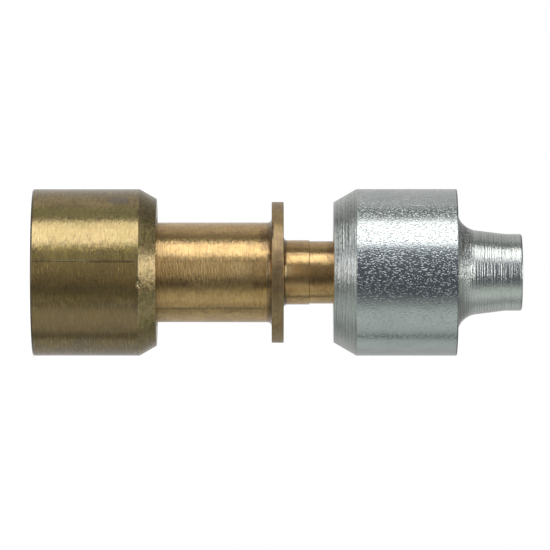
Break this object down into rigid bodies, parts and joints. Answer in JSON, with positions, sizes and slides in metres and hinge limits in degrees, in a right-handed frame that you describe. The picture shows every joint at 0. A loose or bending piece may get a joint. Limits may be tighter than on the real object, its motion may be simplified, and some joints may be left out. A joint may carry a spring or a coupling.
{
  "type": "tube reducer",
  "caption": "Press-fit reducer that joins a larger metal tube to a smaller one: a turned brass union with a collar, and a ring on each stub, of brass and of zinc-plated steel.",
  "frame": {"origin": "centre of the brass ring's rear face, where the part stands, on the tube axis", "axes": "+Z along the tube axis, from the larger tube to the smaller one; X and Y across it, with nothing to tell them apart because every piece is turned"},
  "size_m": [0.0132, 0.0132, 0.0387],
  "materials": {
    "aged_brass": "turned, tarnished olive brown",
    "brass": "turned, bright",
    "zinc_plated_steel": "zinc plated, fine orange peel on the outside, turned grooves on chamfer and nose"
  },
  "bodies": {
    "union": {"union_body": "brass"},
    "brass_ring": {"brass_ring": "aged_brass"},
    "steel_ring": {"steel_ring": "zinc_plated_steel"}
  },
  "joints": [
    {"name": "brass_ring_slide", "type": "slide", "parent": "union", "child": "brass_ring", "axis": [0, 0, 1], "range_m": [0, 0.0091]},
    {"name": "steel_ring_slide", "type": "slide", "parent": "union", "child": "steel_ring", "axis": [0, 0, -1], "range_m": [0, 0.00395]}
  ]
}
